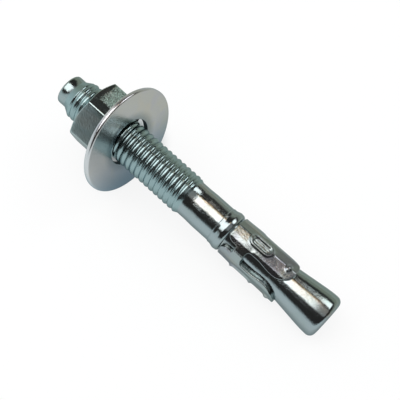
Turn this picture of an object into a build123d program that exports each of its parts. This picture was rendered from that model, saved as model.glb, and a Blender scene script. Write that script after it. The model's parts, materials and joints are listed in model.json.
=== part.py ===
from build123d import *
from math import asin, atan2, cos, degrees, hypot, radians, sin, tan
import os

# M12 x 95 wedge anchor (through bolt) lying on a flat surface, as it rests when put down: on the
# rim of its washer and on the rim of its cone end. Millimetres.
# Stations along the stud are measured from the threaded tip towards the cone end.

# ---- stud -------------------------------------------------------------------------------------
overall_length = 95.0
dog_radius = 4.55            # plain point ahead of the thread
dog_length = 3.0
dog_edge = 1.1               # its edge is rounded off in two facets
dog_edge_facet = 0.32
thread_radius = 5.95         # over the crests of the M12 x 1.75 thread
thread_lead_in = 2.4         # length of the chamfer up to full diameter
thread_end = 46.5
thread_run_out = 1.2
waist_radius = 5.38          # just behind the thread
waist_length = 2.6
shank_radius = 5.5
collar_start = 57.6
collar_step = 0.12           # small step where the collar leaves the shank
collar_crest = 60.3
collar_radius = 6.03
collar_brow = 0.4
collar_edge_radius = 5.72
collar_end = 61.3
neck_radius = 4.6            # the seat that the expansion clip is wrapped round
cone_start = 76.2
cone_end = 91.4
cone_radius = 6.5
cone_edge_radius = 2.0

# ---- expansion clip -----------------------------------------------------------------------------
running_gap = 0.06           # radial, between clip and stud
clip_start = 61.7
clip_end = 81.4
clip_mouth_radius = 5.9      # over the ridges beside the collar
clip_radius = 6.18           # over the ridges at the lugs
clip_tip_radius = 6.3        # over the ridges at the flared finger tips
clip_flat_distance = 5.65    # from the axis to the six flats between the ridges
clip_mouth_end = 63.6
clip_body_start = 66.2
clip_flare_start = 75.4
finger_count = 3
seam_angle = 49.5            # from straight up, turning towards the front
seam_gap = 0.12
notch_half_width = 1.3       # opening beside the collar, where the two ends of the sheet meet
notch_end = 65.1
notch_corner_radius = 0.5
panel_corner = 1.2           # rounded corners of the sheet at the mouth of the notch
panel_corner_length = 1.9
panel_corner_radius = 2.1
cut_overlap = 0.3            # the two sides of a cut overlap in its middle
slot_root = 68.35
slot_root_radius = 1.1
seam_slot_width = 2.15       # half width of the opening in the seam's line
side_slot_width = 1.0        # the same for the two slots between the other fingers
slot_hip_start = 71.6        # the fingers swell here and narrow each slot a little
slot_hip_end = 75.6
hip_swell = 0.23             # of the slot's half width
finger_tip_start = 76.8      # the fingers end in wide round tips
finger_tip_radius = 4.6
finger_tip_side = 4.3
lug_station = 70.5
lug_length = 8.1
lug_width = 4.45
lug_wall_taper = 20.0
lug_height = 0.85
dish_length = 4.4
dish_width = 1.25
dish_depth = 0.75
dish_taper = 38.0
nub_station = 79.0
nub_length = 1.9
nub_width = 2.9
nub_height = 0.3
pressing_foot = 0.05         # height at which the lugs and nubs leave the ridge
pressing_root = 1.0          # how far they reach down into the sheet
sheet_edge = 0.25            # broken edges of the sheet

# ---- nut and washer -------------------------------------------------------------------------------
nut_across_flats = 18.0
nut_height = 9.8
nut_start = 9.8              # station of its outer face
nut_bore_radius = 6.0
nut_corner_angle = 17.0
nut_face_radius = 8.75       # the round flat left on each face by the 30 degree chamfer
nut_chamfer_angle = 30.0
countersink = 0.45
washer_radius = 16.0
washer_hole_radius = 7.0
washer_thickness = 1.6
washer_edge = 0.25
washer_hole_chamfer = 0.15
washer_lean = 16.5           # its top leans back on the nut
washer_roll = 1.43           # the rim's starting line stands just off straight up
rest_gap = 0.05

# ---- how the washer hangs on the thread and leans on the nut ---------------------------------------
lean = radians(washer_lean)
nut_end = nut_start + nut_height
half_thickness = washer_thickness / 2
washer_lift = washer_hole_radius * cos(lean) - half_thickness * sin(lean) - thread_radius - rest_gap
lean_reach = (nut_face_radius - washer_lift + half_thickness * sin(lean)) / cos(lean)
washer_station = nut_end + rest_gap + half_thickness * cos(lean) + lean_reach * sin(lean)

# ---- how the anchor lies ----------------------------------------------------------------------------
# The surface passes under the washer's lowest edge and touches the rounded rim of the cone end.
rim_back = half_thickness - washer_edge
rim_station = washer_station - rim_back * cos(lean) + washer_radius * sin(lean)
rim_depth = washer_radius * cos(lean) - washer_lift + rim_back * sin(lean)
edge_station = overall_length - cone_edge_radius
edge_depth = cone_radius - cone_edge_radius
span = hypot(edge_station - rim_station, rim_depth - edge_depth)
slope = (atan2(rim_depth - edge_depth, edge_station - rim_station)
         - asin(cone_edge_radius / span))
tip_height = rim_station * sin(slope) + rim_depth * cos(slope)
far_end = edge_station * cos(slope) + edge_depth * sin(slope) + cone_edge_radius
near_end = -(dog_radius - dog_edge) * sin(slope)

tip = Vector(-(near_end + far_end) / 2, 0, tip_height)
along = Vector(cos(slope), 0, -sin(slope))
upward = Vector(sin(slope), 0, cos(slope))
frontward = Vector(0, -1, 0)
section = Plane(origin=tip, x_dir=along, z_dir=frontward)
stud_axis = Axis(tip, along)


def outward(angle):
    """Direction out of the stud, turned from straight up towards the front."""
    return upward * cos(radians(angle)) + frontward * sin(radians(angle))


def face_out(angle):
    """Plane through the stud's axis that faces outward: x runs along the stud."""
    return Plane(origin=tip, x_dir=along, z_dir=outward(angle))


def across(station, angle=0.0):
    """Plane square to the stud at a station."""
    return Plane(origin=tip + along * station, x_dir=outward(angle), z_dir=along)


# ---- stud: one turned and rolled piece ---------------------------------------------------------------
with BuildPart() as stud:
    with BuildSketch(section):
        with BuildLine():
            Polyline(
                (0, 0),
                (0, dog_radius - dog_edge),
                (dog_edge_facet, dog_radius - dog_edge_facet),
                (dog_edge, dog_radius),
                (dog_length, dog_radius),
                (dog_length + thread_lead_in, thread_radius),
                (thread_end - thread_run_out, thread_radius),
                (thread_end, waist_radius),
                (thread_end + waist_length, waist_radius),
                (thread_end + 2 * waist_length, shank_radius),
                (collar_start, shank_radius),
                (collar_start + collar_step, shank_radius + collar_step),
                (collar_crest, collar_radius),
                (collar_end - collar_brow, collar_radius),
                (collar_end, collar_edge_radius),
                (collar_end, neck_radius),
                (cone_start, neck_radius),
                (cone_end, cone_radius),
                (overall_length - cone_edge_radius, cone_radius),
            )
            rim = RadiusArc(
                (overall_length - cone_edge_radius, cone_radius),
                (overall_length, cone_radius - cone_edge_radius),
                cone_edge_radius,
            )
            Polyline(rim @ 1, (overall_length, 0), (0, 0))
        make_face()
    revolve(axis=stud_axis)
stud.part.label = "stud"

# ---- expansion clip: sheet wrapped round the neck, its ends meeting in one seam ------------------------
lug_angles = [seam_angle + (turn + 0.5) * 360 / finger_count for turn in range(finger_count)]
side_slot_angles = [seam_angle + turn * 360 / finger_count for turn in range(1, finger_count)]
lug_crown = clip_radius + lug_height
cutter_reach = lug_crown + 1
cone_slope = (cone_radius - neck_radius) / (cone_end - cone_start)
clip_bore = neck_radius + running_gap
clip_tip_bore = clip_bore + cone_slope * (clip_end - cone_start)

with BuildPart() as lug:
    with BuildSketch(section):
        with BuildLine():
            lug_top = ThreePointArc(
                (lug_station - lug_length / 2, clip_radius + pressing_foot),
                (lug_station, lug_crown),
                (lug_station + lug_length / 2, clip_radius + pressing_foot),
            )
            Polyline(
                lug_top @ 1,
                (lug_station + lug_length / 2, clip_radius - pressing_root),
                (lug_station - lug_length / 2, clip_radius - pressing_root),
                lug_top @ 0,
            )
        make_face()
    extrude(amount=lug_width / 2, both=True)
    with BuildSketch(face_out(0).offset(clip_radius - pressing_root)):
        with Locations((lug_station, 0)):
            SlotOverall(lug_length, lug_width)
    extrude(amount=pressing_root + 2 * lug_height, taper=lug_wall_taper, mode=Mode.INTERSECT)
    with BuildSketch(face_out(0).offset(lug_crown - dish_depth)):
        with Locations((lug_station, 0)):
            SlotOverall(dish_length, dish_width)
    extrude(amount=2 * dish_depth, taper=-dish_taper, mode=Mode.SUBTRACT)

with BuildPart() as nub:
    with BuildSketch(section):
        with BuildLine():
            nub_top = ThreePointArc(
                (nub_station - nub_length / 2, clip_radius + pressing_foot),
                (nub_station, clip_tip_radius + nub_height),
                (nub_station + nub_length / 2, clip_tip_radius),
            )
            Polyline(
                nub_top @ 1,
                (nub_station + nub_length / 2, clip_radius - pressing_root),
                (nub_station - nub_length / 2, clip_radius - pressing_root),
                nub_top @ 0,
            )
        make_face()
    extrude(amount=nub_width / 2, both=True)
    with BuildSketch(face_out(0)):
        with Locations((nub_station, 0)):
            SlotOverall(nub_width, nub_length, rotation=90)
    extrude(amount=cutter_reach, mode=Mode.INTERSECT)

with BuildPart() as expansion_clip:
    with BuildSketch(section):
        with BuildLine():
            mouth = Line((clip_start, clip_bore), (clip_start, clip_mouth_radius))
            Polyline(
                mouth @ 1,
                (clip_mouth_end, clip_mouth_radius),
                (clip_body_start, clip_radius),
                (clip_flare_start, clip_radius),
                (clip_end, clip_tip_radius),
                (clip_end, clip_tip_bore),
                (cone_start, clip_bore),
                mouth @ 0,
            )
        make_face()
        chamfer(vertices().sort_by(Axis.X)[0:2].sort_by(Axis.Y)[-1], sheet_edge)
        chamfer(vertices().sort_by(Axis.X)[-2:], sheet_edge)
    revolve(axis=stud_axis)

    # the wrap is pressed flat between a ridge down each finger and a ridge down each slot's line
    with BuildSketch(across(clip_start, seam_angle)):
        RegularPolygon(radius=clip_flat_distance, side_count=2 * finger_count, major_radius=False)
    extrude(amount=clip_end - clip_start, mode=Mode.INTERSECT)

    # slots between the fingers: each side is cut square to the sheet
    slots = [(seam_angle, seam_slot_width)]
    slots += [(angle, side_slot_width) for angle in side_slot_angles]
    for angle, width in slots:
        edge_angle = degrees(asin(width / clip_radius))
        root_radius = min(width, slot_root_radius)
        for side in (-1, 1):
            with BuildSketch(face_out(angle + side * edge_angle)):
                with BuildLine():
                    root = RadiusArc(
                        (slot_root, side * root_radius),
                        (slot_root + root_radius, 0),
                        -side * root_radius,
                    )
                    hip = Polyline(
                        root @ 1,
                        (slot_hip_start, 0),
                        (slot_hip_end, side * hip_swell * width),
                        (finger_tip_start, side * hip_swell * width),
                    )
                    corner = RadiusArc(
                        hip @ 1,
                        (clip_end, side * (hip_swell * width - finger_tip_side)),
                        side * finger_tip_radius,
                    )
                    Polyline(
                        corner @ 1,
                        (clip_end + cut_overlap, side * (hip_swell * width - finger_tip_side)),
                        (clip_end + cut_overlap, side * (width + cut_overlap)),
                        (slot_root, side * (width + cut_overlap)),
                        root @ 0,
                    )
                make_face()
            extrude(amount=cutter_reach, mode=Mode.SUBTRACT)

    # notch beside the collar, and the closed seam from it to the slot
    notch_angle = degrees(asin(notch_half_width / clip_radius))
    for side in (-1, 1):
        with BuildSketch(face_out(seam_angle + side * notch_angle)):
            with BuildLine():
                lip = RadiusArc(
                    (clip_start, -side * panel_corner),
                    (clip_start + panel_corner_length, 0),
                    side * panel_corner_radius,
                )
                wall = Line(lip @ 1, (notch_end - notch_corner_radius, 0))
                corner = RadiusArc(
                    wall @ 1,
                    (notch_end, side * notch_corner_radius),
                    -side * notch_corner_radius,
                )
                Polyline(
                    corner @ 1,
                    (notch_end, side * (notch_half_width + cut_overlap)),
                    (clip_start - cut_overlap, side * (notch_half_width + cut_overlap)),
                    (clip_start - cut_overlap, -side * panel_corner),
                    lip @ 0,
                )
            make_face()
        extrude(amount=cutter_reach, mode=Mode.SUBTRACT)
    with BuildSketch(face_out(seam_angle)):
        with Locations(((notch_end + slot_root) / 2, 0)):
            Rectangle(slot_root - notch_end + cut_overlap, seam_gap)
    extrude(amount=cutter_reach, mode=Mode.SUBTRACT)

    for angle in lug_angles:
        add(lug.part.rotate(stud_axis, angle))
        add(nub.part.rotate(stud_axis, angle))
expansion_clip.part.label = "expansion_clip"

# ---- nut: hexagon, chamfered at both faces, bored and countersunk -----------------------------------------
nut_corner_radius = nut_across_flats / 2 / cos(radians(30))
nut_corner_drop = (nut_corner_radius - nut_face_radius) * tan(radians(nut_chamfer_angle))
with BuildPart() as hex_nut:
    with BuildSketch(across(nut_start, nut_corner_angle)):
        RegularPolygon(radius=nut_corner_radius, side_count=6)
    extrude(amount=nut_height)
    with BuildSketch(section):
        Polygon(
            (nut_start, nut_bore_radius + countersink),
            (nut_start, nut_face_radius),
            (nut_start + nut_corner_drop, nut_corner_radius),
            (nut_end - nut_corner_drop, nut_corner_radius),
            (nut_end, nut_face_radius),
            (nut_end, nut_bore_radius + countersink),
            (nut_end - countersink, nut_bore_radius),
            (nut_start + countersink, nut_bore_radius),
            align=None,
        )
    revolve(axis=stud_axis, mode=Mode.INTERSECT)
hex_nut.part.label = "hex_nut"

# ---- washer: flat ring, leaning back on the nut -----------------------------------------------------------
washer_plane = Plane(
    origin=tip + along * washer_station + upward * washer_lift,
    x_dir=upward * cos(lean) - along * sin(lean),
    z_dir=along * cos(lean) + upward * sin(lean),
).rotated((0, 0, washer_roll))
with BuildPart() as washer:
    with BuildSketch(washer_plane.offset(-half_thickness)):
        Circle(washer_radius)
        Circle(washer_hole_radius, mode=Mode.SUBTRACT)
    extrude(amount=washer_thickness)
    chamfer(edges().filter_by(GeomType.CIRCLE).sort_by(SortBy.RADIUS)[:2], washer_hole_chamfer)
    chamfer(edges().filter_by(GeomType.CIRCLE).sort_by(SortBy.RADIUS)[-2:], washer_edge)
washer.part.label = "washer"

os.makedirs("parts", exist_ok=True)
for piece in (stud, expansion_clip, washer, hex_nut):
    export_step(piece.part, f"parts/{piece.part.label}.step")
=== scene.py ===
# %% [markdown]
# # A wedge anchor in bright zinc
# The object is a through bolt for concrete: a threaded stud with a nut and a washer at one end, and a
# cone at the other with a pressed steel clip wrapped round the neck in front of it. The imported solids
# give every place and size. This lesson dresses them: the thread becomes a real helix, the pressed
# clip gets its soft edges, and all four pieces get a zinc finish.
# %% Load the solids
import json
import math

import bmesh
import bpy
import numpy as np
from mathutils import Matrix, Vector
from mathutils.geometry import delaunay_2d_cdt


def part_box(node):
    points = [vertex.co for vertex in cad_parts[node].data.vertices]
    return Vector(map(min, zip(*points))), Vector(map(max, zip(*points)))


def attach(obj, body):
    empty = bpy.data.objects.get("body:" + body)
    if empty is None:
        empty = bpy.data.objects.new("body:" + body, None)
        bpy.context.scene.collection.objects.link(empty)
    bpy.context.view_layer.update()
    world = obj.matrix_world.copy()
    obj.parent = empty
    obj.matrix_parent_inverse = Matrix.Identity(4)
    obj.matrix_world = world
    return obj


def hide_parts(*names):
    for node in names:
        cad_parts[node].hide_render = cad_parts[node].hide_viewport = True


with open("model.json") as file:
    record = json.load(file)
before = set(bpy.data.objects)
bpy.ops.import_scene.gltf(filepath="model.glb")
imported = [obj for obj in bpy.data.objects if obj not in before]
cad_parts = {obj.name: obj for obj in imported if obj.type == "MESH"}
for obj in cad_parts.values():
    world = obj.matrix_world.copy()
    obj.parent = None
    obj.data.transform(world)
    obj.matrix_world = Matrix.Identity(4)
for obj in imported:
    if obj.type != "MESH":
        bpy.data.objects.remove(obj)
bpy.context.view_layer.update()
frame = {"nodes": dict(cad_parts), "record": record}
print("solids:", sorted(frame["nodes"]))

# %% [markdown]
# ## Where the stud lies
# The anchor rests on the rim of its washer and on the rim of its cone, so the stud slopes. Everything
# turned about the stud is easiest to draw in the stud's own frame: x runs along it from the threaded
# tip, z points up out of it and y points to the back. One matrix then lays each finished mesh down in
# the row frame. The record's mounts hold the tip's place and the stud's direction, so nothing is
# typed in twice. Sizes are in millimetres until a mesh is made, and a station is the distance from
# the threaded tip along the stud.
# %% The stud's own frame
MM = 0.001
mounts = {mount["name"]: mount for mount in frame["record"]["mounts"]}
tip = Vector(mounts["stud_thread"]["pos_m"])
along = -Vector(mounts["stud_thread"]["axis"])
slope = math.atan2(-along.z, along.x)
lie_down = Matrix.Translation(tip) @ Matrix.Rotation(slope, 4, "Y")
print("tip", tuple(round(v, 5) for v in tip), "slope", round(math.degrees(slope), 2), "degrees")


# %% [markdown]
# ## Sums that build nodes
# Node trees are easier to read as sums. A Wire wraps one socket, and each operator adds the Math node
# that does it, so `1 - mask` works on a mask that changes over the surface. Every other node comes
# from one method of the Bench, which sets its settings first and its sockets after.
# %% Wire
class Wire:
    """One output socket that can be used in Python sums."""

    def __init__(self, bench, socket):
        self.bench = bench
        self.socket = socket

    def math(self, operation, *others):
        return self.bench.math(operation, self, *others)

    def __add__(self, other):
        return self.math("ADD", other)

    def __sub__(self, other):
        return self.math("SUBTRACT", other)

    def __rsub__(self, other):
        return self.bench.math("SUBTRACT", other, self)

    def __mul__(self, other):
        return self.math("MULTIPLY", other)

    def __truediv__(self, other):
        return self.math("DIVIDE", other)

    __radd__ = __add__
    __rmul__ = __mul__


# %% Bench
class Bench:
    """Builds the nodes of one tree, for a material, the world or geometry."""

    def __init__(self, tree):
        self.tree = tree

    def node(self, kind, settings=None, inputs=None):
        """Adds a node. Each input is a plain value or the Wire that feeds it."""
        made = self.tree.nodes.new(kind)
        for name, value in (settings or {}).items():
            setattr(made, name, value)
        for key, value in (inputs or {}).items():
            if isinstance(value, Wire):
                self.tree.links.new(value.socket, made.inputs[key])
            else:
                made.inputs[key].default_value = value
        return made

    def wire(self, kind, settings=None, inputs=None, output=0):
        """Adds a node and returns one of its outputs."""
        return Wire(self, self.node(kind, settings, inputs).outputs[output])

    def math(self, operation, *values):
        return self.wire("ShaderNodeMath", {"operation": operation}, dict(enumerate(values)))


def cleared_bench(owner):
    """A bench on the emptied node tree of a material or a world."""
    owner.use_nodes = True
    owner.node_tree.nodes.clear()
    return Bench(owner.node_tree)


print("kinds of tree that a bench can build: material, world, geometry")

# %% [markdown]
# ## Patterns on a surface
# A finish is made of masks: values from 0 to 1 that say how much of something there is at each point.
# Noise gives the uneven ones. Steps along the stud and distances from a point give the placed ones.
# They all read Object coordinates in metres, so the patterns have real sizes and ride on the piece.
# %% Masks and mixes


def noise(bench, place, size_mm, detail=3.0, roughness=0.55):
    """Even noise from 0 to 1 with features of about that size."""
    inputs = {"Vector": place, "Scale": 1 / (size_mm * MM), "Detail": detail, "Roughness": roughness}
    return bench.wire("ShaderNodeTexNoise", {"noise_dimensions": "3D"}, inputs)


def stretched(bench, wire, low, high):
    """Spreads the part from low to high over 0 to 1, with soft ends."""
    inputs = {"Value": wire, "From Min": low, "From Max": high}
    return bench.wire("ShaderNodeMapRange", {"interpolation_type": "SMOOTHSTEP"}, inputs)


def between(bench, wire, low, high, soft):
    """1 from low to high and 0 outside, with soft steps."""
    past_low = stretched(bench, wire, low - soft, low + soft)
    past_high = stretched(bench, wire, high - soft, high + soft)
    return past_low * (1 - past_high)


def blend(bench, factor, first, second):
    """Mixes two colours. A Mix node keeps its colours in inputs 6 and 7 and output 2."""
    inputs = {"Factor": factor, 6: first, 7: second}
    return bench.wire("ShaderNodeMix", {"data_type": "RGBA"}, inputs, 2)


def component(bench, vector, letter):
    """The X, Y or Z of a vector."""
    return bench.wire("ShaderNodeSeparateXYZ", inputs={0: vector}, output=letter)


def distance_from(bench, place, point):
    """Metres from a point."""
    inputs = {0: place, 1: point}
    return bench.wire("ShaderNodeVectorMath", {"operation": "DISTANCE"}, inputs, "Value")


def station_on(bench, place):
    """Millimetres from the threaded tip along the stud."""
    inputs = {0: place, 1: tuple(along / MM)}
    reach = bench.wire("ShaderNodeVectorMath", {"operation": "DOT_PRODUCT"}, inputs, "Value")
    return reach - tip.dot(along) / MM


print("one millimetre of noise has the scale", 1 / MM)

# %% [markdown]
# ## Places that differ
# The rolled thread is duller than drawn steel, and one side of the nut gets a bright, raised, speckled
# patch.
# Three masks paint light. The wall of the washer's hole and the nut's seat lie deep in gaps, where
# the render leaves too much light, so they get painted shade, and the washer's lowest part gets a
# painted reflection: the blue grey of the table that it mirrors. Painted shade and reflection are a
# makeshift: they stay the same when the lamps change or the nut moves.
# Each mask is a small function that takes a finish's channels and hands them back changed, so that a
# piece only has the ones it needs.
# %% Thread, hole shade, bright patch and seat shade
# painted shade on the wall of the washer's hole and on the sheet round it
HOLE_WALL_SHADE = (0.07, 0.08, 0.09, 1)
HOLE_RIM_SHADE = (0.20, 0.27, 0.30, 1)
# colour of a bright, raised patch on one side of the nut
PATCH_COLOUR = (0.62, 0.82, 0.74, 1)
# painted shade on the nut's seat, deep in the gap against the washer
SEAT_SHADE = (0.02, 0.02, 0.02, 1)
PATCH_DEPTH_MM = 0.32
# heights over which the painted reflection of the table fades out
REFLECTED_BELOW, PLAIN_ABOVE = 2 * MM, 19 * MM


def painted_table_reflection(bench, place, colour, tint):
    """Paints a reflection of the table on the part that is near it."""
    high_up = stretched(bench, component(bench, place, "Z"), REFLECTED_BELOW, PLAIN_ABOVE)
    return blend(bench, high_up, tint, colour)


def rolled_thread(bench, place, colour, roughness, low, high, tone, more_dull):
    """Gives the stations from low to high their own tone and some roughness."""
    on_thread = between(bench, station_on(bench, place), low, high, 0.4)
    return blend(bench, on_thread, colour, tone), roughness + on_thread * more_dull


def painted_hole_shade(bench, place, colour, roughness, centre, radius):
    """Paints shade on the wall of a hole, dark and dull, and lighter painted shade on the sheet round
    it.
    """
    reach = distance_from(bench, place, centre)
    on_wall = 1 - stretched(bench, reach, radius, radius + 0.06 * MM)
    by_hole = 1 - stretched(bench, reach, radius, radius * 1.45)
    colour = blend(bench, by_hole * 0.6, colour, HOLE_RIM_SHADE)
    return blend(bench, on_wall, colour, HOLE_WALL_SHADE), roughness + on_wall * 0.3


def bright_patch(bench, place, colour, relief, crystals, low, high, side_mm):
    """Raises a bright speckled patch from low to high, on the side of the piece that lies past side_mm.
    """
    sideways = component(bench, place, "Y")
    patch = between(bench, station_on(bench, place), low, high, 1.2)
    patch = patch * stretched(bench, sideways, (side_mm - 1) * MM, (side_mm + 1) * MM)
    patch = patch * (0.3 + 0.7 * stretched(bench, crystals, 0.44, 0.6))
    relief = relief + patch * crystals * (PATCH_DEPTH_MM * MM)
    return blend(bench, patch, colour, PATCH_COLOUR), relief


def painted_seat_shade(bench, place, colour, roughness, start):
    """Paints shade, black and matte, on everything past the station start. Returns the metal's share
    too.
    """
    metal = 1 - stretched(bench, station_on(bench, place), start - 0.04, start)
    return blend(bench, metal, SEAT_SHADE, colour), roughness + (1 - metal) * 0.5, metal


print("grain stands", PATCH_DEPTH_MM, "mm high")

# %% [markdown]
# ## Zinc, once for four pieces
# Electroplated zinc is a clear, slightly blue metal mirror. Up close it is not even: fine crystals
# scatter the light at the edges of a reflection, the passivation over them tints it faintly violet,
# yellow or green in patches, and handling leaves it duller in spots. A metal's colour is its
# reflection's colour, so the tints go into Base Color, the dull spots into Roughness, and the crystals
# and small dents into a Bump. Drawing stretches some of the patterns along the stud, which a Mapping
# node does. The specular tint takes the blue out of the white that a metal's edge turns to.
# %% The zinc finish
EDGE_TINT = (0.62, 0.70, 0.72, 1)
DENT_DEPTH_MM = 0.022
DRAWN_OUT = (0.35, 1.0, 1.0)


def zinc(name, plain, tints, gloss, dull, crystal_mm, crystal_depth_mm,
         table_reflection=None, rolled=None, hole=None, coarse=None, dark_from=None):
    """A zinc finish: one colour with two tints in patches, and from gloss to dull in spots.

    table_reflection is a colour painted on what is near the table, as a reflection of it. rolled,
    hole and coarse hold what the functions of those places ask for, and dark_from is the station where
    painted shade on the seat starts.
    """
    material = bpy.data.materials.new(name)
    bench = cleared_bench(material)
    place = bench.wire("ShaderNodeTexCoord", output="Object")
    drawn = bench.wire(
        "ShaderNodeMapping",
        {"vector_type": "POINT"},
        {"Vector": place, "Rotation": (0.0, -slope, 0.0), "Scale": DRAWN_OUT},
    )
    patches = noise(bench, place, size_mm=9.0)
    other_patches = noise(bench, drawn, size_mm=5.0, detail=2.0)
    crystals = noise(bench, place, crystal_mm, detail=2.0, roughness=0.7)
    dents = noise(bench, drawn, size_mm=2.6, detail=2.0, roughness=0.5)
    smears = noise(bench, drawn, size_mm=1.6, detail=4.0, roughness=0.65)

    colour = blend(bench, stretched(bench, patches, 0.42, 0.66), plain, tints[0])
    colour = blend(bench, stretched(bench, other_patches, 0.5, 0.72), colour, tints[1])
    dull_spots = stretched(bench, smears, 0.55, 0.8)
    dullness = dull_spots * 0.7 + stretched(bench, crystals, 0.35, 0.75) * 0.3
    roughness = gloss + dullness * (dull - gloss)
    relief = crystals * (crystal_depth_mm * MM) + dents * (DENT_DEPTH_MM * MM)
    metal = 1.0
    if table_reflection:
        colour = painted_table_reflection(bench, place, colour, table_reflection)
    if rolled:
        colour, roughness = rolled_thread(bench, place, colour, roughness, *rolled)
    if hole:
        colour, roughness = painted_hole_shade(bench, place, colour, roughness, *hole)
    if coarse:
        colour, relief = bright_patch(bench, place, colour, relief, crystals, *coarse)
    if dark_from:
        colour, roughness, metal = painted_seat_shade(bench, place, colour, roughness, dark_from)

    bump = bench.wire("ShaderNodeBump", inputs={"Strength": 1.0, "Distance": 1.0, "Height": relief})
    shader = bench.wire(
        "ShaderNodeBsdfPrincipled",
        inputs={"Base Color": colour, "Metallic": metal, "Roughness": roughness, "Normal": bump,
                "Specular Tint": EDGE_TINT},
    )
    bench.node("ShaderNodeOutputMaterial", inputs={"Surface": shader})
    return material


print("drawn patterns are", round(1 / DRAWN_OUT[0], 1), "times longer than wide")

# %% Four finishes
washer_low, washer_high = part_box("washer")
washer_centre = (washer_low + washer_high) / 2
stud_zinc = zinc(
    "stud_zinc", (0.38, 0.44, 0.45, 1), [(0.34, 0.41, 0.39, 1), (0.42, 0.42, 0.39, 1)],
    gloss=0.11, dull=0.27, crystal_mm=0.45, crystal_depth_mm=0.03,
    rolled=(3.0, 46.5, (0.34, 0.45, 0.455, 1), 0.08),
)
clip_zinc = zinc(
    "clip_zinc", (0.37, 0.42, 0.41, 1), [(0.32, 0.33, 0.37, 1), (0.43, 0.43, 0.39, 1)],
    gloss=0.14, dull=0.34, crystal_mm=0.45, crystal_depth_mm=0.04,
)
washer_zinc = zinc(
    "washer_zinc", (0.71, 0.71, 0.71, 1), [(0.68, 0.68, 0.75, 1), (0.73, 0.71, 0.68, 1)],
    gloss=0.20, dull=0.30, crystal_mm=0.15, crystal_depth_mm=0.003,
    # painted reflection of the table on the lowest part, and painted shade round the hole
    table_reflection=(0.30, 0.40, 0.48, 1), hole=(washer_centre, 7.08 * MM),
)
nut_zinc = zinc(
    "nut_zinc", (0.40, 0.48, 0.48, 1), [(0.33, 0.41, 0.39, 1), (0.43, 0.47, 0.45, 1)],
    gloss=0.17, dull=0.33, crystal_mm=0.4, crystal_depth_mm=0.02,
    # a bright speckled patch on one side, and painted shade on the seat from 19.5 mm
    coarse=(12.2, 19.4, 0.2), dark_from=19.5,
)
for finish in (stud_zinc, clip_zinc, washer_zinc, nut_zinc):
    print(finish.name, "has", len(finish.node_tree.nodes), "nodes")

# %% [markdown]
# ## A thread that is really a helix
# The M12 thread is a groove that advances 1.75 mm in each turn. It could be a bump pattern, but its
# outline against the light would stay straight. Geometry Nodes can build it from its rule: take a
# grid, roll it into a tube, and shift every column by its share of the pitch, so that the grid's rows
# run along the crest, the flanks and the root. After one turn a row meets the row one pitch further
# on, and merging them closes the tube. A cosine draws the groove, and a power over 1 leaves the crests
# wider than the grooves. The same tree cuts the stud's thread and, with its side turned over, the
# thread inside the nut, so the two always mesh.
# %% The tree's inputs
LENGTHS = ["Pitch", "First crest", "Start", "End", "Crest radius", "Depth",
           "Start radius", "End radius", "Run-out"]
PLAIN_NUMBERS = ["Start slope", "End slope", "Side"]

thread_rule = bpy.data.node_groups.new("helical_thread", "GeometryNodeTree")
thread_rule.interface.new_socket("Geometry", in_out="OUTPUT", socket_type="NodeSocketGeometry")
inputs = [("Plain shells", "Geometry")]
inputs += [(name, "Float") for name in LENGTHS + PLAIN_NUMBERS]
inputs += [("Rows", "Int"), ("Columns", "Int"), ("Material", "Material")]
for name, kind in inputs:
    thread_rule.interface.new_socket(name, in_out="INPUT", socket_type="NodeSocket" + kind)
print("helix tree:", len(inputs), "inputs")

# %% The helix tree
ROWS_PER_TURN = 12
GROOVE_POWER = 1.5
MERGE_MM = 0.002


def build_helix(bench):
    """The rule of the thread: a grid rolled into a tube, grooved, closed and painted."""
    group = bench.node("NodeGroupInput")
    given = {socket.name: Wire(bench, socket) for socket in group.outputs if socket.name}
    start, end, pitch, side = (given[name] for name in ("Start", "End", "Pitch", "Side"))

    index, columns = bench.wire("GeometryNodeInputIndex"), given["Columns"]
    row = (index / (columns + 1)).math("FLOOR")
    turn = (index - row * (columns + 1)) / columns
    station = given["First crest"] + pitch * (row / ROWS_PER_TURN + turn)
    station = station.math("MAXIMUM", start).math("MINIMUM", end)

    phase = (row / ROWS_PER_TURN) * math.tau
    groove = ((1 - phase.math("COSINE")) * 0.5).math("POWER", GROOVE_POWER)
    fade = ((end - station) / given["Run-out"]).math("MINIMUM", 1.0)
    threaded = given["Crest radius"] - groove * given["Depth"] * fade
    start_cone = given["Start radius"] + side * given["Start slope"] * (station - start)
    end_cone = given["End radius"] + side * given["End slope"] * (end - station)
    nearest = (side * threaded).math("MINIMUM", side * start_cone).math("MINIMUM", side * end_cone)
    radius = side * nearest

    angle = turn * math.tau
    place = bench.wire(
        "ShaderNodeCombineXYZ",
        inputs={0: station, 1: radius * angle.math("SINE") * -1, 2: radius * angle.math("COSINE")},
    )
    size = {"Vertices X": given["Rows"], "Vertices Y": columns + 1}
    grid = bench.wire("GeometryNodeMeshGrid", inputs=size)
    tube = bench.wire("GeometryNodeSetPosition", inputs={"Geometry": grid, "Position": place})
    outside = side.math("GREATER_THAN", 0.0)
    tube = bench.wire("GeometryNodeFlipFaces", inputs={"Mesh": tube, "Selection": outside})
    joined = bench.node("GeometryNodeJoinGeometry")
    for part in (tube, given["Plain shells"]):
        bench.tree.links.new(part.socket, joined.inputs[0])
    merging = {"Geometry": Wire(bench, joined.outputs[0]), "Distance": MERGE_MM * MM}
    merged = bench.wire("GeometryNodeMergeByDistance", inputs=merging)
    real = bench.wire("GeometryNodeRealizeInstances", inputs={"Geometry": merged})
    painting = {"Geometry": real, "Material": given["Material"]}
    painted = bench.wire("GeometryNodeSetMaterial", inputs=painting)
    bench.node("NodeGroupOutput", inputs={0: painted})


build_helix(Bench(thread_rule))
print("helix tree:", len(thread_rule.nodes), "nodes")


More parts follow.
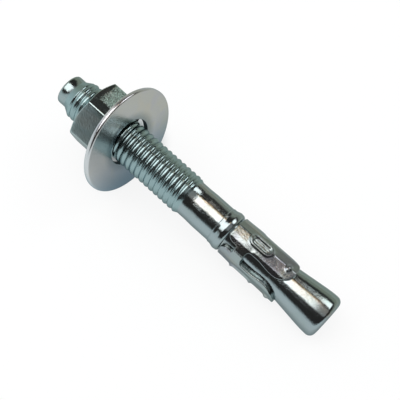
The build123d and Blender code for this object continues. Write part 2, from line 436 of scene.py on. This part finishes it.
# %% Run the helix tree
def threaded_mesh(name, shells, columns, material, sizes):
    """Runs the tree round the plain shells and returns one plain mesh in the stud's frame."""
    carrier = bpy.data.objects.new(name + "_draft", shells)
    bpy.context.scene.collection.objects.link(carrier)
    modifier = carrier.modifiers.new("thread", "NODES")
    modifier.node_group = thread_rule
    turns = math.ceil((sizes["End"] - sizes["First crest"]) / sizes["Pitch"])
    given = {"Rows": turns * ROWS_PER_TURN + 1, "Columns": columns, "Material": material}
    for label, size in sizes.items():
        given[label] = size * (MM if label in LENGTHS else 1)
    for socket in thread_rule.interface.items_tree:
        if socket.in_out == "INPUT" and socket.name in given:
            modifier[socket.identifier] = given[socket.name]
    ready = carrier.evaluated_get(bpy.context.evaluated_depsgraph_get())
    mesh = bpy.data.meshes.new_from_object(ready)
    bpy.data.objects.remove(carrier)
    print(name, "thread:", turns, "turns of", sizes["Pitch"], "mm")
    return mesh


# %% [markdown]
# ## Turned shapes
# The dog point, the shank, the collar and the cone are turned or drawn round, so each is a profile
# swept round the axis. A sharp turned edge is never quite sharp: every corner of a profile gets a
# small arc, which is what catches the light. A Bevel modifier could round the corners too, but an arc
# in the profile keeps its radius where two corners are close.
# %% Profiles
ARC_STEP = math.radians(11)
NEARLY_STRAIGHT = math.radians(89.5)


def rounded(corners):
    """Turns (x, y, corner radius) into points, with an arc of that radius at each corner."""
    points = []
    for i, (x, y, radius) in enumerate(corners):
        here = np.array((x, y), float)
        if radius <= 0 or i in (0, len(corners) - 1):
            points.append(here)
            continue
        before = np.array(corners[i - 1][:2]) - here
        after = np.array(corners[i + 1][:2]) - here
        lengths = np.linalg.norm(before), np.linalg.norm(after)
        before, after = before / lengths[0], after / lengths[1]
        half = math.acos(float(np.clip(before @ after, -1, 1))) / 2
        if half > NEARLY_STRAIGHT:
            points.append(here)
            continue
        reach = min(radius / math.tan(half), 0.49 * min(lengths))
        radius = reach * math.tan(half)
        middle = (before + after) / np.linalg.norm(before + after)
        centre = here + middle * (radius / math.sin(half))
        first, last = here + before * reach - centre, here + after * reach - centre
        sweep = math.pi - 2 * half
        steps = max(2, round(sweep / ARC_STEP))
        for k in range(steps + 1):
            a, b = math.sin((1 - k / steps) * sweep), math.sin(k / steps * sweep)
            points.append(centre + (first * a + last * b) / math.sin(sweep))
    return np.array(points)


sample = rounded([(0, 0, 0), (0, 1, 0.5), (1, 1, 0)])
print("a square corner becomes", len(sample) - 2, "points")


# %% Lathe
def swept(station, radius, columns):
    """Rows of points round the x axis and the faces between them. A row may change as it turns."""
    angle = np.linspace(0, math.tau, columns, endpoint=False)
    points = (station + 0 * angle, -radius * np.sin(angle), radius * np.cos(angle))
    points = np.stack(points, axis=-1)
    row, j = np.meshgrid(np.arange(len(points) - 1), np.arange(columns), indexing="ij")
    here, there, k = row * columns, (row + 1) * columns, (j + 1) % columns
    faces = np.stack((here + j, here + k, there + k, there + j), -1)
    return points.reshape(-1, 3) * MM, faces.reshape(-1, 4)


def lathe(profile, columns):
    """A profile of (station, radius) swept round the x axis."""
    return swept(profile[:, :1], profile[:, 1:], columns)


print("a lathed square corner has", len(lathe(sample, 8)[1]), "faces in 8 columns")


# %% Closed meshes
def mesh_of(name, *shells):
    """One mesh from several (vertices, faces) shells."""
    vertices, faces, count = [], [], 0
    for points, quads in shells:
        vertices.append(points)
        faces += (np.asarray(quads) + count).tolist()
        count += len(points)
    mesh = bpy.data.meshes.new(name)
    mesh.from_pydata(np.concatenate(vertices).tolist(), [], faces)
    mesh.update()
    return mesh


def closed(mesh):
    """Merges doubles, drops faces with no area and points every face outwards."""
    edit = bmesh.new()
    edit.from_mesh(mesh)
    bmesh.ops.remove_doubles(edit, verts=edit.verts, dist=0.0005 * MM)
    bmesh.ops.dissolve_degenerate(edit, edges=edit.edges, dist=0.0002 * MM)
    bmesh.ops.recalc_face_normals(edit, faces=edit.faces)
    open_edges = sum(not e.is_manifold for e in edit.edges)
    edit.to_mesh(mesh)
    edit.free()
    print(mesh.name, len(mesh.polygons), "faces,", open_edges, "open edges")
    return mesh


def finished_object(name, mesh, material):
    """An object at the origin that shows the mesh, smooth and in one material."""
    mesh.materials.clear()
    mesh.materials.append(material)
    mesh.shade_smooth()
    made = bpy.data.objects.new(name, mesh)
    bpy.context.scene.collection.objects.link(made)
    return made


# %% [markdown]
# ## The stud
# One piece of steel: a plain dog point, the rolled thread, a waist where the rolling ran out, the
# drawn shank, a collar that keeps the clip from sliding back, the neck, and the cone that spreads the
# clip. The plain lengths are two lathed shells with the thread's ring left open between them, and the
# helix tree fills that gap.
# %% Stud sizes
PITCH = 1.75
CREST_RADIUS = 5.95
CREST_AT_TOP = 23.825
THREAD_DEPTH = 0.34
THREAD_START, THREAD_END = 3.0, 46.5
LEAD_IN_SLOPE = 1.4 / 2.4
RUN_OUT = 1.2
RUN_OUT_SLOPE = 0.57 / RUN_OUT
DOG_RADIUS, WAIST_RADIUS, SHANK_RADIUS = 4.55, 5.38, 5.5
COLLAR_END = 61.3
NECK_RADIUS, CONE_RADIUS = 4.6, 6.5
CONE_START, CONE_END, STUD_END = 76.2, 91.4, 95.0
STUD_COLUMNS = 120
print("thread from", THREAD_START, "to", THREAD_END, "mm, cone to", CONE_RADIUS * 2, "mm across")

# %% Stud mesh
dog_point = rounded([
    (0.0, 0.0, 0), (0.0, DOG_RADIUS, 0.95), (1.6, DOG_RADIUS, 0), (THREAD_START, DOG_RADIUS, 0),
])
waist_and_shank = [
    (THREAD_END, WAIST_RADIUS, 0), (49.1, WAIST_RADIUS, 1.5), (51.7, SHANK_RADIUS, 3.0),
    (57.5, SHANK_RADIUS, 0.05),
]
collar = [
    (57.7, 5.68, 0.08), (58.5, 5.66, 0.8), (59.8, 6.06, 1.0), (60.9, 5.92, 1.5),
    (COLLAR_END, 5.6, 0.2),
]
neck_and_cone = [
    (COLLAR_END, NECK_RADIUS, 0.1), (CONE_START, NECK_RADIUS, 2.0), (CONE_END, CONE_RADIUS, 28.0),
    (STUD_END, CONE_RADIUS, 2.0), (STUD_END, 0.0, 0),
]
body = rounded(waist_and_shank + collar + neck_and_cone)
shells = mesh_of("stud_shells", lathe(dog_point, STUD_COLUMNS), lathe(body, STUD_COLUMNS))
stud_mesh = threaded_mesh("stud", shells, STUD_COLUMNS, stud_zinc, {
    "Pitch": PITCH, "First crest": CREST_AT_TOP - 13 * PITCH,
    "Start": THREAD_START, "End": THREAD_END,
    "Crest radius": CREST_RADIUS, "Depth": THREAD_DEPTH,
    "Start radius": DOG_RADIUS, "Start slope": LEAD_IN_SLOPE,
    "End radius": WAIST_RADIUS, "End slope": RUN_OUT_SLOPE, "Run-out": RUN_OUT, "Side": 1,
})
stud_mesh.transform(lie_down)
stud = finished_object("zinc_stud", closed(stud_mesh), stud_zinc)

# %% [markdown]
# ## The nut
# A hexagon of 18 mm across its flats, with both faces chamfered by the same 30 degree cone, which is
# what draws the curved lines over its corners. A cut cube would leave those lines jagged, so each
# column of the lathe gets its own radius instead: the hexagon's radius in that direction, with the
# corners a little rounded, as forging leaves them. The chamfer then ends lower where the radius is
# larger. The helix tree, turned inside out, cuts the thread in the bore.
# %% Nut sizes
NUT_START, NUT_END = 9.8, 19.6
NUT_APOTHEM, NUT_FACE_RADIUS, MOUTH_RADIUS = 9.0, 8.75, 6.45
NUT_CORNER_ANGLE = 18.5
CORNER_POWER = 90
CHAMFER_SLOPE = math.tan(math.radians(30))
THREAD_PLAY = 0.05
NUT_COLUMNS = 288


def hexagon_radius(angle):
    """Radius of the hexagon in each direction. A higher power makes its corners crisper."""
    flats = np.radians(NUT_CORNER_ANGLE + 30 + 60 * np.arange(6))
    facing = np.maximum(np.cos(angle[:, None] - flats), 0) / NUT_APOTHEM
    return (facing**CORNER_POWER).sum(axis=1) ** (-1 / CORNER_POWER)


hexagon = hexagon_radius(np.linspace(0, math.tau, NUT_COLUMNS, endpoint=False))
print("nut:", round(2 * hexagon.min(), 2), "mm flats,", round(2 * hexagon.max(), 2), "mm corners")


# %% Nut mesh
def nut_shell(side):
    """The nut's outside and its two faces, from one mouth of the bore to the other."""
    level = np.zeros(len(side))
    beyond = side - NUT_FACE_RADIUS
    drop = beyond * CHAMFER_SLOPE
    half = [
        (level, level + MOUTH_RADIUS),
        (level, level + MOUTH_RADIUS + 0.12),
        (level, level + 7.6),
        (level, level + NUT_FACE_RADIUS - 0.25),
        (level + 0.015, level + NUT_FACE_RADIUS - 0.02),
        (drop * 0.3 + 0.03, NUT_FACE_RADIUS + beyond * 0.28),
        (drop * 0.7 + 0.03, NUT_FACE_RADIUS + beyond * 0.68),
        (drop, side - 0.06),
        (drop + 0.10, side - 0.012),
        (drop + 0.28, side),
        (drop + 1.4, side),
    ]
    height = NUT_END - NUT_START
    rows = [(NUT_START + depth, radius) for depth, radius in half]
    rows += [(NUT_START + height / 2 + level, side)]
    rows += [(NUT_END - depth, radius) for depth, radius in reversed(half)]
    station, radius = (np.array(column) for column in zip(*rows))
    return swept(station, radius, len(side))


shell = mesh_of("nut_shell", nut_shell(hexagon))
nut_mesh = threaded_mesh("hex_nut", shell, NUT_COLUMNS, nut_zinc, {
    "Pitch": PITCH, "First crest": CREST_AT_TOP - 10 * PITCH, "Start": NUT_START, "End": NUT_END,
    "Crest radius": CREST_RADIUS + THREAD_PLAY, "Depth": THREAD_DEPTH,
    "Start radius": MOUTH_RADIUS, "Start slope": 1.0,
    "End radius": MOUTH_RADIUS, "End slope": 1.0, "Run-out": 0.001, "Side": -1,
})
nut_mesh.transform(lie_down)
hex_nut = finished_object("zinc_nut", closed(nut_mesh), nut_zinc)

# %% [markdown]
# ## The washer
# A ring stamped from sheet and tumbled, which rounds its outer rim well and the edges of its hole a
# little, more on one side than on the other. It is a lathed profile too. It leans on the nut, and its
# own mount gives the direction of its face.
# %% Washer mesh
WASHER_RADIUS, WASHER_HOLE, WASHER_HALF = 16.0, 7.0, 0.8
WASHER_COLUMNS = 192
face_normal = Vector(mounts["clamping_face"]["axis"])
washer_profile = rounded([
    (0.0, WASHER_HOLE, 0), (-WASHER_HALF, WASHER_HOLE, 0.15), (-WASHER_HALF, WASHER_RADIUS, 0.55),
    (WASHER_HALF, WASHER_RADIUS, 0.6), (WASHER_HALF, WASHER_HOLE, 0.22), (0.0, WASHER_HOLE, 0),
])
washer_mesh = mesh_of("washer_ring", lathe(washer_profile, WASHER_COLUMNS))
lean = Vector((1, 0, 0)).rotation_difference(face_normal)
washer_mesh.transform(Matrix.Translation(washer_centre) @ lean.to_matrix().to_4x4())
washer = finished_object("zinc_washer", closed(washer_mesh), washer_zinc)
print("washer centre", tuple(round(v, 5) for v in washer_centre))

# %% [markdown]
# ## The expansion clip
# The clip starts as a flat blank with notches and fingers. It is pressed, which raises a dished lug
# and a small nub on each finger, and then wrapped round the neck until its ends meet. The mesh is
# made in the same order. The blank's outline is drawn flat, filled with a fine net of triangles that
# respects it, and then every point of the net is lifted to its height over the stud's axis and wrapped
# round it. Distances to the outline, known while the blank is flat, round its sheared edges.
# %% Clip sizes
CLIP_START, CLIP_END = 61.7, 81.4
SEAM = math.radians(49.5)
SEAM_GAP = 0.06
WRAP = 6.0
RIDGE_RADIUS = 6.18
NOTCH_END, NOTCH_HALF_WIDTH, NOTCH_CORNER = 65.1, 1.3, 0.5
PANEL_CORNER = 63.6
SLOT_ROOT, SLOT_ROOT_RADIUS = 68.35, 1.1
SEAM_SLOT, FRONT_SLOT, OTHER_SLOT = 2.15, 2.55, 1.0
HIP_START, HIP_LENGTH, HIP_SWELL = 71.6, 4.4, 0.23
FINGER_TIP, FINGER_TIP_RADIUS = 76.8, 4.6
print("blank:", round(CLIP_END - CLIP_START, 2), "by", round(math.tau * WRAP, 2), "mm")


# %% Side of a slot
def arc(start, end, centre, steps):
    """Points on the arc from start to end round a centre, in the flat blank."""
    start, end, centre = (np.array(p, float) for p in (start, end, centre))
    a, b = start - centre, end - centre
    first = math.atan2(a[1], a[0])
    turn = (math.atan2(b[1], b[0]) - first + math.pi) % math.tau - math.pi
    angle = first + turn * np.linspace(0, 1, steps)
    return centre + np.linalg.norm(a) * np.stack((np.cos(angle), np.sin(angle)), -1)


def slot_side(half_width):
    """One side of a slot from its root to the finger tip, as (station, distance from its centre)."""
    edge = WRAP * math.asin(half_width / RIDGE_RADIUS)
    swell = edge - HIP_SWELL * half_width
    root = min(half_width, SLOT_ROOT_RADIUS)
    inner = edge - root
    root_arc = arc((SLOT_ROOT, inner), (SLOT_ROOT + root, edge), (SLOT_ROOT + root, inner), 9)
    hip = np.linspace(71.3, 76.5, 18)
    ease = np.clip((hip - HIP_START) / HIP_LENGTH, 0, 1)
    hip_side = edge + (swell - edge) * ease**2 * (3 - 2 * ease)
    quarter = np.linspace(0, 1, 26) * math.asin(0.9999)
    tip_station = FINGER_TIP + FINGER_TIP_RADIUS * np.sin(quarter)
    tip_side = swell + FINGER_TIP_RADIUS * (1 - np.cos(quarter))
    return np.concatenate((
        [(SLOT_ROOT, inner)], root_arc[1:], [(71.0, edge)],
        np.stack((hip, hip_side), -1), np.stack((tip_station, tip_side), -1),
    ))


print("a slot's side has", len(slot_side(SEAM_SLOT)), "points")


# %% Clip outline
def blank_outline():
    """The blank's outline: (station, distance round the wrap from the seam)."""
    around = math.tau * WRAP
    gap = SEAM_GAP * 0.5 * WRAP / RIDGE_RADIUS
    notch = WRAP * math.asin(NOTCH_HALF_WIDTH / RIDGE_RADIUS)
    corner_start = NOTCH_END - NOTCH_CORNER
    corner_side = notch - NOTCH_CORNER
    corner = arc((NOTCH_END, corner_side), (corner_start, notch), (corner_start, corner_side), 7)
    lip = arc((PANEL_CORNER, notch), (CLIP_START, notch + 1.2), (PANEL_CORNER, notch + 2.1), 12)
    near_notch = np.concatenate(([(NOTCH_END, gap)], corner, lip))
    seam = [(NOTCH_END, gap), (SLOT_ROOT, gap)]
    seam_side, front_side, other_side = (
        slot_side(half_width) for half_width in (SEAM_SLOT, FRONT_SLOT, OTHER_SLOT)
    )
    paths = [np.concatenate((seam, front_side))]
    for centre in (around / 3, around * 2 / 3):
        paths.append((other_side * (1, -1) + (0, centre))[::-1])
        paths.append(other_side + (0, centre))
    paths.append((np.concatenate((seam, seam_side)) * (1, -1) + (0, around))[::-1])
    paths.append((near_notch * (1, -1) + (0, around))[1:])
    paths.append(near_notch[::-1][:-1])
    outline = np.concatenate(paths)
    outline[:, 0] = np.minimum(outline[:, 0], CLIP_END)
    return outline


print("outline:", len(blank_outline()), "points")

# %% [markdown]
# ### The net in the blank
# A Delaunay net fills any outline with even triangles. Close to the outline it needs finer rows, since
# the sheared edge is rounded there, and in the middle an offset grid is enough. Every point is kept
# only where it lies inside the outline and clear of its neighbours, which takes two measures: the
# distance to the outline, and how often a line from the point crosses it.
# %% Measures in the blank


def evenly(outline, step):
    """Splits long runs of a closed outline so that no run is longer than step."""
    points = []
    for a, b in zip(outline, np.roll(outline, -1, axis=0)):
        length = np.linalg.norm(b - a)
        if length < 1e-4:
            continue
        parts = max(1, math.ceil(length / step))
        points += [a + (b - a) * k / parts for k in range(parts)]
    return np.array(points)


def in_lots(points, size=800):
    """Splits the points' indices into lots, so that a table of points by edges stays small."""
    return np.array_split(np.arange(len(points)), max(1, len(points) // size))


def distance_to(outline, points):
    """Distance from each point to a closed outline."""
    a, b = outline, np.roll(outline, -1, axis=0)
    run = b - a
    best = np.full(len(points), 1e9)
    for lot in in_lots(points):
        p = points[lot][:, None, :] - a
        t = np.clip((p * run).sum(-1) / (run * run).sum(-1), 0, 1)
        best[lot] = np.linalg.norm(p - t[..., None] * run, axis=-1).min(axis=1)
    return best


def inside(outline, points):
    """Which points lie inside a closed outline."""
    a, b = outline, np.roll(outline, -1, axis=0)
    found = np.zeros(len(points), bool)
    for lot in in_lots(points):
        x, y = points[lot, 0][:, None], points[lot, 1][:, None]
        crosses = (a[:, 1] > y) != (b[:, 1] > y)
        with np.errstate(divide="ignore", invalid="ignore"):
            at = a[:, 0] + (y - a[:, 1]) * (b[:, 0] - a[:, 0]) / (b[:, 1] - a[:, 1])
        found[lot] = (crosses & (x < at)).sum(axis=1) % 2 == 1
    return found


finger_middle = np.array([(75.0, WRAP * math.radians(60))])
print("half a finger:", round(distance_to(blank_outline(), finger_middle)[0], 2), "mm wide")

# %% Clip net
OUTLINE_STEP = 0.22
RIM_ROWS = (0.03, 0.08, 0.15, 0.24)
NET_MARGIN = 0.33
LENGTH_STEP, WRAP_STEP = 0.2, 0.17
FILLED_INSIDE = 1

outline = evenly(blank_outline(), OUTLINE_STEP)
ahead = np.roll(outline, -1, axis=0) - np.roll(outline, 1, axis=0)
inward = np.stack((-ahead[:, 1], ahead[:, 0]), -1) / np.linalg.norm(ahead, axis=1)[:, None]
if not inside(outline, outline[:1] + inward[:1] * 0.05)[0]:
    inward = -inward
net = [outline]
for depth in RIM_ROWS:
    row = outline + inward * depth
    net.append(row[inside(outline, row) & (distance_to(outline, row) > depth * 0.97)])
down = np.arange(CLIP_START + 0.1, CLIP_END, LENGTH_STEP)
across_wrap = np.arange(0.1, math.tau * WRAP, WRAP_STEP)
grid = np.stack(np.meshgrid(down, across_wrap, indexing="ij"), -1)
grid[1::2, :, 1] += WRAP_STEP / 2
grid = grid.reshape(-1, 2)
grid = grid[inside(outline, grid)]
net.append(grid[distance_to(outline, grid) > NET_MARGIN])
points = [Vector(point) for point in np.concatenate(net)]
border = [(i, (i + 1) % len(outline)) for i in range(len(outline))]
filled = delaunay_2d_cdt(points, border, [], FILLED_INSIDE, 1e-5)
flat = np.array([tuple(point) for point in filled[0]])
triangles = np.array(filled[2])
print("blank:", len(flat), "points,", len(triangles), "triangles")

# %% [markdown]
# ### The pressed face
# The height of the sheet's face is a sum of simple rules. Pressing leaves the wrap as twelve narrow
# flats. Near the collar six more take off every second corner between them, and these fade out at the
# lugs. The radius is the smallest of the round and the flats. Each lug is a raised stadium-shaped lip
# round a sunk dish, and each nub is a low bump. A soft minimum joins the flats, as pressed metal never
# meets in a crease.
# %% Rules of pressing
def soft_min(a, b, width):
    """The smaller of two values, with a round join of about that width."""
    return (a + b - np.sqrt((a - b) ** 2 + width**2)) / 2


def stadium(x, y, length, width):
    """Distance to a stadium's outline, negative inside it."""
    straight = (length - width) / 2
    return np.hypot(np.maximum(np.abs(x) - straight, 0), y) - width / 2


def ramp(values, low, high):
    """0 below low and 1 above high, with a smooth slope between."""
    t = np.clip((values - low) / (high - low), 0, 1)
    return t * t * (3 - 2 * t)


def off_middle(turn, degrees):
    """Angle from the middle of the nearest flat, where a flat takes up that many degrees."""
    return turn % math.radians(degrees) - math.radians(degrees / 2)


print("a soft minimum of 1 and 1 is", soft_min(1.0, 1.0, 0.06))

# %% Clip heights
MOUTH_RIDGE, BODY_RISE, TIP_FLARE = 5.98, 0.2, 0.12
FLATNESS, RIB_FLATNESS = 0.969, 0.976
LUG_STATION, LUG_SIDE = 70.0, 0.3
LUG_LENGTH, LUG_WIDTH = 6.7, 2.9
LIP_HEIGHT, LIP_WIDTH, DISH_DEPTH = 0.42, 0.42, 0.32
NUB_STATION, NUB_HEIGHT = 79.0, 0.36
NUB_ACROSS, NUB_ALONG = 2.9, 1.9
FINGER_REACH = math.radians(50)


def sheet_face(station, turn):
    """Radius of the sheet's outer face."""
    ridge = MOUTH_RIDGE + BODY_RISE * ramp(station, 62.4, 67.4)
    ridge = ridge + TIP_FLARE * ramp(station, 75.4, CLIP_END)
    flat_face = ridge * FLATNESS / np.cos(off_middle(turn, 30))
    rib_share = RIB_FLATNESS + 0.03 * ramp(station, 68.8, 70.5)
    rib_face = ridge * rib_share / np.cos(off_middle(turn, 60))
    radius = soft_min(soft_min(ridge, flat_face, 0.06), rib_face, 0.03)
    for finger in range(3):
        swing = (turn - math.radians(60 + 120 * finger) + math.pi) % math.tau - math.pi
        x, y = station - LUG_STATION, radius * swing
        rim = stadium(x, y - LUG_SIDE, LUG_LENGTH, LUG_WIDTH)
        lip = LIP_HEIGHT * np.exp(-((rim / LIP_WIDTH) ** 2))
        dish = DISH_DEPTH * ramp(-rim, 0.1, 0.85)
        nub = stadium(y, station - NUB_STATION, NUB_ACROSS, NUB_ALONG)
        bump = NUB_HEIGHT * ramp(-nub, -0.12, 0.75)
        radius = radius + np.where(np.abs(swing) < FINGER_REACH, lip - dish + bump, 0)
    return radius


station, turn = flat[:, 0], flat[:, 1] / WRAP
face = sheet_face(station, turn)
print("sheet's face from", round(face.min(), 2), "to", round(face.max(), 2), "mm off the axis")

# %% [markdown]
# ### Wrap and close
# The face is wrapped round the stud from the seam, and a second copy of the net at the bore's radius
# is the lining. Edges of the net with a triangle on one side only are the sheet's rim, and a wall
# joins each of them to its twin in the lining.
# %% Clip mesh
NECK_BORE = 4.66
CONE_RISE = 1.9 / 15.2
EDGE_ROUNDING = 0.22
THINNEST = 0.12


def wrapped(radius):
    """The net's points at that radius, in the stud's frame."""
    angle = SEAM + turn
    return np.stack((station, -radius * np.sin(angle), radius * np.cos(angle)), -1) * MM


from_edge = np.minimum(distance_to(outline, flat), EDGE_ROUNDING)
fallen = EDGE_ROUNDING - np.sqrt(EDGE_ROUNDING**2 - (EDGE_ROUNDING - from_edge) ** 2)
outer_radius = face - fallen
bore = NECK_BORE + CONE_RISE * np.maximum(station - CONE_START, 0)
inner_radius = np.minimum(bore, outer_radius - THINNEST)

rim_edges = {}
for a, b, c in triangles.tolist():
    for edge in ((a, b), (b, c), (c, a)):
        if edge[::-1] in rim_edges:
            del rim_edges[edge[::-1]]
        else:
            rim_edges[edge] = True
count = len(flat)
skin = triangles.tolist()
lining = (triangles[:, ::-1] + count).tolist()
walls = [(a, a + count, b + count, b) for a, b in rim_edges]
both_faces = np.concatenate((wrapped(outer_radius), wrapped(inner_radius)))
clip_mesh = bpy.data.meshes.new("expansion_clip_sheet")
clip_mesh.from_pydata(both_faces.tolist(), [], skin + lining + walls)
clip_mesh.transform(lie_down)
clip = finished_object("zinc_clip", closed(clip_mesh), clip_zinc)
clip.data.set_sharp_from_angle(angle=math.radians(60))

# %% [markdown]
# ## Each piece stands for its solid
# All four meshes are closed and lie where their solids lie, so each one takes its solid's place. It
# rides on the same body, which makes the nut, the washer and the clip move as the solids do.
# %% Ride and replace
dressed = [
    (stud, "stud", "stud_steel"),
    (hex_nut, "hex_nut", "nut_steel"),
    (washer, "washer", "washer_steel"),
    (clip, "expansion_clip", "clip_steel"),
]
for piece, node, steel in dressed:
    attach(piece, node)
    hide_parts(node)
    triangle_count = sum(len(p.vertices) - 2 for p in piece.data.polygons)
    print(piece.name, "stands for", node, "with", triangle_count, "triangles")

# %% [markdown]
# ## The studio
# Polished metal shows the room more than itself. The room here is the usual one for small bright
# parts: a white table that runs up into a pale backdrop, a dark room above it, and flat soft lamps
# overhead. The long softbox makes the white band on the stud's top, the dark room makes the black
# bands on both sides of it, and the table makes the pale band below. The table is whiter towards the
# camera than behind the anchor, so the upper edge of the stud is darker, and it is darker close under
# the stud, which shelters it.
#
# Light Path tells which ray is asking. The camera sees the table nearly white, a reflection mostly
# sees a light that the table gives off for reflections only, with painted shade close under the stud,
# and every other ray meets a matte sheet, which is what takes the shadow. One soft spot of shade is
# painted on the table under the nut, because the white table would show through the gap between the
# leaning washer and the nut. It shows from low down and doesn't follow the nut.
# %% Light by ray
WHITE = (1, 1, 1, 1)
FRONT_WHITE = (0.72, 0.80, 0.83, 1)
BACK_WHITE = (0.40, 0.42, 0.36, 1)


def table_light(bench, sideways):
    """What polished metal sees of the table and backdrop, towards the camera and behind."""
    return blend(bench, stretched(bench, sideways, -0.5, 0.5), FRONT_WHITE, BACK_WHITE)


def rays(bench, *kinds):
    """Masks that are 1 for rays of that kind, such as Camera."""
    path = bench.node("ShaderNodeLightPath")
    return [Wire(bench, path.outputs["Is " + kind + " Ray"]) for kind in kinds]


print("metal sees", FRONT_WHITE[:3], "in front and", BACK_WHITE[:3], "behind")

# %% Table
# painted shade in the light that reflections see, close under the stud
SHELTER_SHADE = (0.40, 0.43, 0.43, 1)
TABLE_GREY = (0.85, 0.86, 0.86, 1)
SHADE_GREY = (0.40, 0.44, 0.45, 1)
UNDER_WASHER = (-31.8 * MM, 7.5 * MM, 0.0)
TABLE_SCALE = 60 * MM
TABLE_HALF = 3.0


def table_material():
    """A matte table, white to the camera, that gives the metal its own light, with painted shade."""
    material = bpy.data.materials.new("white_table")
    bench = cleared_bench(material)
    camera_ray, glossy_ray = rays(bench, "Camera", "Glossy")
    place = bench.wire("ShaderNodeTexCoord", output="Object")
    clear = stretched(bench, distance_from(bench, place, UNDER_WASHER), 6 * MM, 14 * MM)
    matte_colour = blend(bench, clear, SHADE_GREY, TABLE_GREY)
    matte = bench.wire("ShaderNodeBsdfDiffuse", inputs={"Color": matte_colour})
    white = bench.wire("ShaderNodeEmission", inputs={"Color": WHITE, "Strength": 1.0})

    sideways = component(bench, place, "Y") * (1 / TABLE_SCALE)
    open_table = stretched(bench, sideways.math("ABSOLUTE"), 0.05, 0.35)
    light = blend(bench, open_table, SHELTER_SHADE, table_light(bench, sideways))
    pale = bench.wire("ShaderNodeEmission", inputs={"Color": light, "Strength": 1.0})
    mirrored = {0: glossy_ray * 0.75, 1: matte, 2: pale}
    surface = bench.wire("ShaderNodeMixShader", inputs=mirrored)
    whitened = {0: camera_ray * clear * 0.85, 1: surface, 2: white}
    surface = bench.wire("ShaderNodeMixShader", inputs=whitened)
    bench.node("ShaderNodeOutputMaterial", inputs={"Surface": surface})
    return material


corners = np.array([(-1, -1, 0), (1, -1, 0), (1, 1, 0), (-1, 1, 0)], float) * TABLE_HALF
floor_mesh = mesh_of("floor_sheet", (corners, [(0, 1, 2, 3)]))
floor = bpy.data.objects.new("white_table", floor_mesh)
floor.data.materials.append(table_material())
bpy.context.scene.collection.objects.link(floor)
print("table:", 2 * TABLE_HALF, "m wide")

# %% Lamps
LAMP_HEIGHT = 0.60


def soft_lamp(name, place, size, radiance, colour):
    """A flat lamp over the anchor, as bright as radiance says, where 1 is a white sheet."""
    light = bpy.data.lights.new(name, "AREA")
    light.shape = "RECTANGLE"
    light.size, light.size_y = size
    light.energy = radiance * math.pi * size[0] * size[1]
    light.color = colour
    lamp = bpy.data.objects.new(name, light)
    lamp.location = (*place, LAMP_HEIGHT)
    bpy.context.scene.collection.objects.link(lamp)
    print(name, "gives", round(light.energy, 3), "W")


soft_lamp("overhead_softbox", (-0.0625, -0.060), (0.155, 0.40), 3.0, (1.0, 0.95, 0.94))
soft_lamp("warm_strip", (-0.0625, 0.170), (0.155, 0.055), 2.0, (1.0, 0.66, 0.36))
soft_lamp("tip_softbox", (-0.30, -0.22), (0.32, 0.58), 2.4, WHITE[:3])
soft_lamp("far_softbox", (0.180, 0.50), (0.34, 0.44), 2.4, WHITE[:3])
soft_lamp("right_card", (0.33, -0.05), (0.60, 0.45), 0.32, WHITE[:3])
soft_lamp("left_card", (-0.78, -0.10), (0.62, 0.60), 0.50, WHITE[:3])

# %% [markdown]
# ### The room
# The world is what a ray meets when it misses everything. Its first coordinate is the ray's direction,
# so the backdrop can end and the dark room begin at a height over the horizon. The edge between them
# leans a little, as the backdrop is higher behind the anchor and past its tip. Matte surfaces get an
# even fill and the camera gets white.
# %% Room
DARK_ROOM = (0.040, 0.037, 0.036, 1)
FILL = (0.68, 0.69, 0.70, 1)
BACKDROP_ENDS, ROOM_BEGINS = 0.15, 0.36

world = bpy.data.worlds.new("studio_room")
bpy.context.scene.world = world
room = cleared_bench(world)
direction = room.wire("ShaderNodeTexCoord", output=0)
lengthways, sideways, height = (component(room, direction, letter) for letter in "XYZ")
past_tip = (lengthways + 0.1).math("MINIMUM", 0.0) * 0.55
above = stretched(room, height - sideways * 0.12 + past_tip, BACKDROP_ENDS, ROOM_BEGINS)
camera_ray, diffuse_ray = rays(room, "Camera", "Diffuse")
shade = blend(room, above, table_light(room, sideways), DARK_ROOM)
shade = blend(room, diffuse_ray, shade, FILL)
shade = blend(room, camera_ray, shade, WHITE)
background = room.wire("ShaderNodeBackground", inputs={"Color": shade, "Strength": 1.0})
room.node("ShaderNodeOutputWorld", inputs={"Surface": background})
bpy.context.scene.view_settings.view_transform = "Standard"
print("room:", len(world.node_tree.nodes), "nodes")

# %% [markdown]
# ## The camera
# It looks down at the anchor from the front right, from about 23 cm away, which gives the nut end a
# little less size than the cone end. Its place is worked out from the way that it looks: back points
# from the watched point to the camera, and right and up are the sides of its frame.
# %% Camera
WATCHED = Vector((0.0, 0.0, 12.0))
DISTANCE, SHIFT_RIGHT, SHIFT_UP = 230.03, 1.79, 0.22
azimuth, elevation, roll = (math.radians(degrees) for degrees in (34.59, 60.63, 7.70))
flat_reach = math.cos(elevation)
back = Vector((math.sin(azimuth) * flat_reach, -math.cos(azimuth) * flat_reach, math.sin(elevation)))
level = Vector((math.cos(azimuth), math.sin(azimuth), 0))
right = Matrix.Rotation(roll, 3, back) @ level
up = back.cross(right)
eye = (WATCHED + SHIFT_RIGHT * right + SHIFT_UP * up + DISTANCE * back) * MM
camera_data = bpy.data.cameras.new("camera")
camera_data.sensor_width = 36.0
camera_data.lens = 76.58
camera_data.clip_start = 0.01
camera = bpy.data.objects.new("camera", camera_data)
camera.matrix_world = Matrix.Translation(eye) @ Matrix((right, up, back)).transposed().to_4x4()
bpy.context.scene.collection.objects.link(camera)
bpy.context.scene.camera = camera
print("camera at", tuple(round(v, 4) for v in eye))
